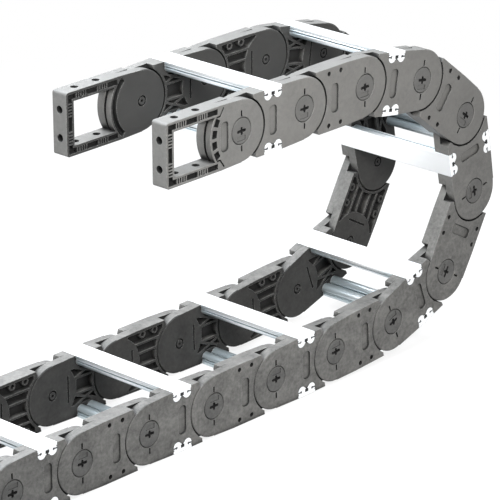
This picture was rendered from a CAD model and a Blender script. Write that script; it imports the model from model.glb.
"""Looks for a cable drag chain: moulded side plates and end brackets, hinge pins and aluminium crossbars."""

import math

import bpy
from mathutils import Matrix, Vector


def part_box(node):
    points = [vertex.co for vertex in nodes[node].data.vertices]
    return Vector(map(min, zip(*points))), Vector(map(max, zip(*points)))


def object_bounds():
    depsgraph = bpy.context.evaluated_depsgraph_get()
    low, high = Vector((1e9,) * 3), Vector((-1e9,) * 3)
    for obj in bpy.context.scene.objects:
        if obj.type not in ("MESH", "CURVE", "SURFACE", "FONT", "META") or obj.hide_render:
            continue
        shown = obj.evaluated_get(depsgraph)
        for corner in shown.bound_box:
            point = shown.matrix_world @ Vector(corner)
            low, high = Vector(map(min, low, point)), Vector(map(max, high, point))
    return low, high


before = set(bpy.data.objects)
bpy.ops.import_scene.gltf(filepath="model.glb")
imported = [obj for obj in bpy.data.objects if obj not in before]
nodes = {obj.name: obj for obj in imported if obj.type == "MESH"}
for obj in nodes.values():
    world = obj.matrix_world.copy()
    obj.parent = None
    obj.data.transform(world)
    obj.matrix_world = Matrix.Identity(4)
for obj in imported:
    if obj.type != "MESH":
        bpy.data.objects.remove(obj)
cad_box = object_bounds()


# ---------------------------------------------------------------------------
# Camera. It stands off the near corner of the moving end, looks down on the
# chain by some 20 degrees, and is far enough away for a long lens.
# ---------------------------------------------------------------------------

CAMERA_PLACE = Vector((-2.94684, -2.87686, 1.83251))
CAMERA_TURN = math.radians(-47.079)  # round the vertical, from straight in front
CAMERA_RISE = math.radians(21.217)
CAMERA_ROLL = math.radians(-0.136)
CAMERA_LENS = 232.554
SENSOR_WIDTH = 36

towards_viewer = Vector(
    (
        math.sin(CAMERA_TURN) * math.cos(CAMERA_RISE),
        -math.cos(CAMERA_TURN) * math.cos(CAMERA_RISE),
        math.sin(CAMERA_RISE),
    )
)
level_right = Vector((0, 0, 1)).cross(towards_viewer).normalized()
level_up = towards_viewer.cross(level_right)
right = math.cos(CAMERA_ROLL) * level_right + math.sin(CAMERA_ROLL) * level_up
up = math.cos(CAMERA_ROLL) * level_up - math.sin(CAMERA_ROLL) * level_right

camera = bpy.data.objects.new("camera", bpy.data.cameras.new("camera"))
camera.data.lens = CAMERA_LENS
camera.data.sensor_width = SENSOR_WIDTH
facing = Matrix((right, up, towards_viewer)).transposed()
camera.matrix_world = Matrix.Translation(CAMERA_PLACE) @ facing.to_4x4()
bpy.context.scene.collection.objects.link(camera)
bpy.context.scene.camera = camera
bpy.context.scene.view_settings.view_transform = "Standard"


# ---------------------------------------------------------------------------
# Studio. A pale floor under the lower run and a white surround. One large
# soft box hangs overhead, one is in front, one at the moving end, one behind.
# ---------------------------------------------------------------------------

WHITE = (1, 1, 1, 1)
WORLD_LIGHT = 0.1  # how strongly the surround lights the chain; seen directly, its strength is 1


class Socket:
    """One output of a node in a material or world. Arithmetic on it adds Math nodes."""

    def __init__(self, tree, output=None):
        self.tree, self.output = tree, output

    def node(self, kind, settings=None, sockets=None, output=0):
        """Adds a node of that kind: sets its settings first, then gives its sockets their values or links."""
        made = self.tree.nodes.new("ShaderNode" + kind)
        for name, value in (settings or {}).items():
            setattr(made, name, value)
        for name, value in (sockets or {}).items():
            if isinstance(value, Socket):
                self.tree.links.new(value.output, made.inputs[name])
            else:
                made.inputs[name].default_value = value
        return Socket(self.tree, made.outputs[output] if made.outputs else None)

    def maths(self, operation, *values):
        """A Math node of that operation on the values, each a number or a Socket."""
        return self.node("Math", {"operation": operation}, dict(enumerate(values)))

    def vectors(self, operation, *values, output="Vector"):
        """A Vector Math node of that operation on the values."""
        return self.node("VectorMath", {"operation": operation}, dict(enumerate(values)), output)

    def __add__(self, other):
        return self.maths("ADD", self, other)

    def __sub__(self, other):
        return self.maths("SUBTRACT", self, other)

    def __rsub__(self, other):
        return self.maths("SUBTRACT", other, self)

    def __mul__(self, other):
        return self.maths("MULTIPLY", self, other)

    __radd__, __rmul__ = __add__, __mul__

    def between(self, low, high):
        """0 where this value is low or less, 1 where it is high or more, and in between a smooth rise."""
        limits = {"Value": self, "From Min": low, "From Max": high}
        return self.node("MapRange", {"interpolation_type": "SMOOTHSTEP"}, limits)

    def swing(self, amount):
        """A pattern that runs from 0 to 1, centred on 0 and spread over that amount."""
        return (self - 0.5) * amount

    def mix(self, first, second):
        """The first colour where this value is 0 and the second where it is 1."""
        colours = {0: self, 6: first, 7: second}  # sockets 6 and 7, and output 2, are the colours' own
        return self.node("Mix", {"data_type": "RGBA"}, colours, output=2)

    def times(self, colour):
        """That colour, as much lighter or darker as this value says."""
        return self.node("VectorMath", {"operation": "SCALE"}, {0: colour, "Scale": self})


def seen_directly(start):
    """1 for a ray from the camera, off a mirror or through glass; 0 for one that carries soft light."""
    kinds = ("Camera", "Glossy", "Transmission")
    camera_ray, mirror_ray, glass_ray = [start.node("LightPath", output=f"Is {kind} Ray") for kind in kinds]
    total = camera_ray + mirror_ray + glass_ray
    return total.maths("MINIMUM", total, 1)


def new_material(name):
    """An empty material, and the Socket from which its nodes are added."""
    made = bpy.data.materials.new(name)
    made.use_nodes = True
    made.node_tree.nodes.clear()
    return made, Socket(made.node_tree)


world = bpy.data.worlds.new("white_surround")
bpy.context.scene.world = world
world.use_nodes = True
world.node_tree.nodes.clear()
surround = Socket(world.node_tree)
strength = seen_directly(surround) * (1 - WORLD_LIGHT) + WORLD_LIGHT
background = surround.node("Background", sockets={"Color": WHITE, "Strength": strength})
surround.node("OutputWorld", sockets={"Surface": background})


def soft_box(name, place, size, power, tint, target=(0, 0, 0.24), spread=180):
    """An area lamp at that place, facing the target. A spread under 180 degrees stands for a grid on it."""
    lamp = bpy.data.lights.new(name, "AREA")
    lamp.shape = "RECTANGLE"
    lamp.size, lamp.size_y = size
    lamp.energy = power
    lamp.color = tint
    lamp.spread = math.radians(spread)
    stand = bpy.data.objects.new(name, lamp)
    bpy.context.scene.collection.objects.link(stand)
    facing = (Vector(target) - Vector(place)).to_track_quat("-Z", "Y")
    stand.matrix_world = Matrix.Translation(place) @ facing.to_matrix().to_4x4()


soft_box("overhead_box", place=(-0.2, 0.2, 1.45), size=(1.9, 1.3), power=66, tint=(0.88, 0.94, 1))
soft_box("front_box", place=(-0.75, -1.5, 1.35), size=(0.8, 0.7), power=9.5, tint=(1, 0.99, 0.965),
         target=(0.12, -0.1, 0.52), spread=60)
soft_box("end_box", place=(-2.5, -0.1, 0.75), size=(1.2, 0.9), power=20, tint=(1, 0.985, 0.95))
soft_box("back_box", place=(0.9, 2.3, 0.9), size=(1.6, 1.0), power=36, tint=(1, 1, 1))

HALF_FLOOR = 6.0
FLOOR_GAP = 0.0005  # air between the floor and the lower run
SEEN_FLOOR = (0.9, 0.9, 0.9, 1)
LIGHTING_FLOOR = (0.2, 0.2, 0.2, 1)  # throws little light up into the chain
GLOW_NEAR = 0.8  # the share of the floor's own white glow near the chain; the rest shows its shadow
SHADOW_ENDS = (0.7, 1.6)  # from the chain's middle, where the floor becomes as white as the surround

floor_mesh = bpy.data.meshes.new("floor")
corners = [(x * HALF_FLOOR, y * HALF_FLOOR, 0) for x, y in ((-1, -1), (1, -1), (1, 1), (-1, 1))]
floor_mesh.from_pydata(corners, [], [(0, 1, 2, 3)])
floor = bpy.data.objects.new("floor", floor_mesh)
bpy.context.scene.collection.objects.link(floor)
floor.location.z = cad_box[0][2] - FLOOR_GAP

pale, ground = new_material("pale_floor")
direct = seen_directly(ground)
from_middle = ground.vectors("LENGTH", ground.node("TexCoord", output="Object"), output="Value")
far_off = from_middle.between(*SHADOW_ENDS)
paint = ground.node("BsdfDiffuse", sockets={"Color": direct.mix(LIGHTING_FLOOR, SEEN_FLOOR)})
glow = ground.node("Emission", sockets={"Color": WHITE, "Strength": 1.0})
glow_share = direct * (GLOW_NEAR + far_off * (1 - GLOW_NEAR))
lit_floor = ground.node("MixShader", sockets={0: glow_share, 1: paint, 2: glow})
ground.node("OutputMaterial", sockets={"Surface": lit_floor})
floor_mesh.materials.append(pale)


# ---------------------------------------------------------------------------
# Side plates. Injection-moulded glass-filled polyamide, black when new and
# greyed by its satin, slightly mottled skin; edges are rounded by the mould.
# The disc at a plate's head laps the next plate's tail and turns on its pin.
# ---------------------------------------------------------------------------

plates = [name for name in nodes if "_plate_" in name]
low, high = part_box("link_01_plate_front")
BAND_OUTSIDE, BAND_INSIDE = -low.y, -high.y  # how far from the chain's middle plane
OUTER_FACE = BAND_OUTSIDE - 0.0033  # outer faces and their shallow marks lie further out than this
INNER_FACE = BAND_INSIDE + 0.0012  # inner faces lie further in than this, and pocket floors further out
WORN_BELOW, FRESH_ABOVE = 0.08, 0.34  # heights near the lower run's top and the upper run's bottom
GAP_DEPTH = 0.013  # what lies this close over a point makes it a dark gap or recess
TONGUE_REACH = (0.0044, 0.005)  # how far from a crossbar's middle a tongue's shade is full, and where it ends

INNER_SHADE = 0.025
EDGE_PALER, EDGE_LIFT = 1.8, 0.03  # a rubbed edge is that many times as light as the skin, and this much more
POCKET_BLACK = (0.006, 0.006, 0.006, 1)
GAP_BLACK = (0.004, 0.004, 0.004, 1)
PLASTIC_IOR = 1.5
SATIN_GLINT = 0.36  # of the shader's specular level, where 0.5 is plain plastic


def size_of_y(vector):
    """How large a vector's part across the chain is, whichever way it points."""
    across = vector.node("SeparateXYZ", sockets={"Vector": vector}, output="Y")
    return across.maths("ABSOLUTE", across)


def noise(vector, scale, detail, roughness=0.5):
    """A cloudy pattern of 0 to 1; the larger the scale, the finer it is."""
    return vector.node("TexNoise", sockets={
        "Vector": vector, "Scale": scale, "Detail": detail, "Roughness": roughness})


def openness(start, reach, low, high):
    """0 where other surfaces shut a point in within that reach, 1 where it lies open."""
    return start.node("AmbientOcclusion", {"samples": 8}, {"Distance": reach}, output="AO").between(low, high)


def rounded(start, flat_normal, radius):
    """The normal of a surface with its edges rounded to that radius, and how far it is turned, 0 to 1."""
    soft_normal = start.node("Bevel", {"samples": 6}, {"Radius": radius})
    return soft_normal, 1 - start.vectors("DOT_PRODUCT", soft_normal, flat_normal, output="Value")


def off_tongues(start, place):
    """0 on the two tongues of a plate, in the keyholes of its crossbars, and 1 away from them."""
    gaps = []
    for face in ("outer", "inner"):
        settings = {"attribute_type": "OBJECT", "attribute_name": "bar_" + face}
        gap = start.vectors("SUBTRACT", place, start.node("Attribute", settings, output="Vector"))
        flat = start.vectors("MULTIPLY", gap, (1, 0, 1))
        gaps.append(start.vectors("LENGTH", flat, output="Value"))
    return start.maths("MINIMUM", *gaps).between(*TONGUE_REACH)


def moulded_plastic(name, shade, warmth, mottle, roughness, grain, edge_width, tongued=False):
    """Satin moulding: clouded outer skin, more so and darker in the lower run; dark inner faces; soft, paler
    edges; gaps, pocket floors and tongues near black."""
    made, start = new_material(name)
    place = start.node("TexCoord", output="Object")
    height = start.node("SeparateXYZ", sockets={"Vector": place}, output="Z")
    worn = 1 - height.between(WORN_BELOW, FRESH_ABOVE)
    cloud = noise(place, 30, 3)
    patch = noise(place, 190, 5, 0.7)
    speck = noise(place, 900, 2)
    flow = start.node("TexWave", {"wave_type": "BANDS", "bands_direction": "Z"}, {
        "Vector": place, "Scale": 14, "Distortion": 18, "Detail": 3, "Detail Scale": 1.6})

    flat_normal = start.node("NewGeometry", output="True Normal")
    soft_normal, turned = rounded(start, flat_normal, edge_width)
    edge = turned.between(0.02, 0.28)
    rubbed = edge * noise(place, 260, 3).between(0.35, 0.62)

    sideways = size_of_y(flat_normal).between(0.4, 0.6)
    from_middle = size_of_y(place)
    inner = sideways * (1 - from_middle.between(OUTER_FACE, OUTER_FACE + 0.0006))
    pocket_floor = inner * from_middle.between(INNER_FACE, INNER_FACE + 0.001)
    open_air = openness(start, GAP_DEPTH, 0.4, 0.94)

    # The skin is more clouded where it is worn, and darker too.
    clouded = (cloud.swing(0.7) + patch.swing(1.1) + flow.swing(0.1)) * mottle * (0.4 + worn * 0.85)
    tone = 1 + clouded + speck.swing(0.25) - worn * 0.14
    outer_colour = tone.times(tuple(part * shade for part in warmth))
    inner_colour = tone.times(tuple(part * INNER_SHADE for part in warmth))
    skin = pocket_floor.mix(inner.mix(outer_colour, inner_colour), POCKET_BLACK)
    pale_edge = tuple(part * shade * EDGE_PALER + EDGE_LIFT for part in warmth) + (1,)
    lit = open_air
    if tongued:
        lit = open_air * (1 - sideways * (1 - off_tongues(start, place)))
    colour = lit.mix(GAP_BLACK, rubbed.mix(skin, pale_edge))

    # Inner faces and gaps are dull, and edges shine a little.
    uneven = roughness + patch.swing(0.22) + speck.swing(0.1) - edge * 0.08
    dulled = uneven + inner * 0.2 + (1 - open_air) * 0.35
    relief = speck * 0.5 + noise(place, 2600, 2) * 0.5 + patch * 0.6
    bumped = start.node("Bump", sockets={
        "Height": relief, "Distance": grain, "Strength": 1.0, "Normal": soft_normal})
    shader = start.node("BsdfPrincipled", sockets={
        "Base Color": colour, "Roughness": dulled, "Normal": bumped, "IOR": PLASTIC_IOR,
        "Specular IOR Level": SATIN_GLINT})
    start.node("OutputMaterial", sockets={"Surface": shader})
    return made


def finish(material, names):
    """Gives CAD nodes that material in every slot."""
    for name in names:
        mesh = nodes[name].data
        mesh.materials.clear()
        mesh.materials.append(material)


plate_plastic = moulded_plastic(
    "plate_plastic", shade=0.125, warmth=(1.0, 0.98, 0.94), mottle=1.2, roughness=0.48, grain=0.00016,
    edge_width=0.0013, tongued=True)
finish(plate_plastic, plates)

# Each plate holds the middles of its link's two crossbars, or a place far off where its link has none.
NO_BAR = (Vector((9, 9, 9)), Vector((9, 9, 9)))
for name in plates:
    link = name.split("_plate_")[0]
    for face in ("outer", "inner"):
        bar = link + "_crossbar_" + face
        low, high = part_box(bar) if bar in nodes else NO_BAR
        nodes[name]["bar_" + face] = (low + high) / 2


# ---------------------------------------------------------------------------
# End brackets. The same plastic moulded thicker, a touch darker and greyer,
# with bolt holes in the top, bottom and end faces.
# ---------------------------------------------------------------------------

bracket_plastic = moulded_plastic(
    "bracket_plastic", shade=0.12, warmth=(1.0, 0.985, 0.95), mottle=1.3, roughness=0.46, grain=0.00014,
    edge_width=0.0014)
finish(bracket_plastic, [name for name in nodes if "_bracket_" in name])


# ---------------------------------------------------------------------------
# Hinge pins. Capped studs of the same family of plastic, locked in one plate
# and running in the next; the cap is coarser in grain and darker than a plate.
# ---------------------------------------------------------------------------

pin_plastic = moulded_plastic(
    "pin_plastic", shade=0.09, warmth=(1.0, 0.985, 0.955), mottle=0.9, roughness=0.5, grain=0.0003,
    edge_width=0.0008)
finish(pin_plastic, [name for name in nodes if name.endswith("_hinge_pins")])


# ---------------------------------------------------------------------------
# Crossbars. Extruded aluminium with a clear finish: bright, drawn into faint
# lines along its length, and sawn bare at both ends. Each sits in a notch of
# both plates of its link.
# ---------------------------------------------------------------------------

BAR_SILVER = (0.98, 0.99, 1.0)
BAR_DULL = (0.5, 0.57, 0.6, 1)  # on edges, and on the sides that face the cables
BORE_BLACK = (0.01, 0.01, 0.01, 1)
BORE_REACH = 0.005  # the lobes' bores and the keyhole shut a point in within this
CABLE_SPACE = 0.09  # the other plates and bars that stand round the cables lie within this
BAR_EDGE = 0.0014
LINE_DEPTH = 0.00004

aluminium, metal = new_material("crossbar_aluminium")
place = metal.node("TexCoord", output="Object")
lengthways = metal.node("Mapping", sockets={"Vector": place, "Scale": (1, 0.02, 1)})
lines = noise(lengthways, 420, 3, 0.6)
bands = noise(lengthways, 90, 1)
smears = noise(place, 30, 4)

from_middle = size_of_y(place)
between_plates = 1 - from_middle.between(BAND_INSIDE - 0.002, BAND_INSIDE + 0.001)
near_end = from_middle.between(BAND_OUTSIDE - 0.018, BAND_OUTSIDE - 0.008)
in_bore = (1 - openness(metal, BORE_REACH, 0.2, 0.65)) * near_end
cable_side = between_plates * (1 - openness(metal, CABLE_SPACE, 0.62, 0.93))
soft_normal, turned = rounded(metal, metal.node("NewGeometry", output="True Normal"), BAR_EDGE)
dull_edge = turned.between(0.03, 0.3) * 0.6

tone = 0.97 + lines.swing(0.05) + bands.swing(0.03)
skin = (cable_side + dull_edge).mix(tone.times(BAR_SILVER), BAR_DULL)
ridged = metal.node("Bump", sockets={
    "Height": lines, "Distance": LINE_DEPTH, "Strength": 1.0, "Normal": soft_normal})
shader = metal.node("BsdfPrincipled", sockets={
    "Base Color": in_bore.mix(skin, BORE_BLACK), "Metallic": 0.8,
    "Roughness": 0.38 + smears.swing(0.16) + lines.swing(0.08), "Normal": ridged})
metal.node("OutputMaterial", sockets={"Surface": shader})
finish(aluminium, [name for name in nodes if "_crossbar_" in name])
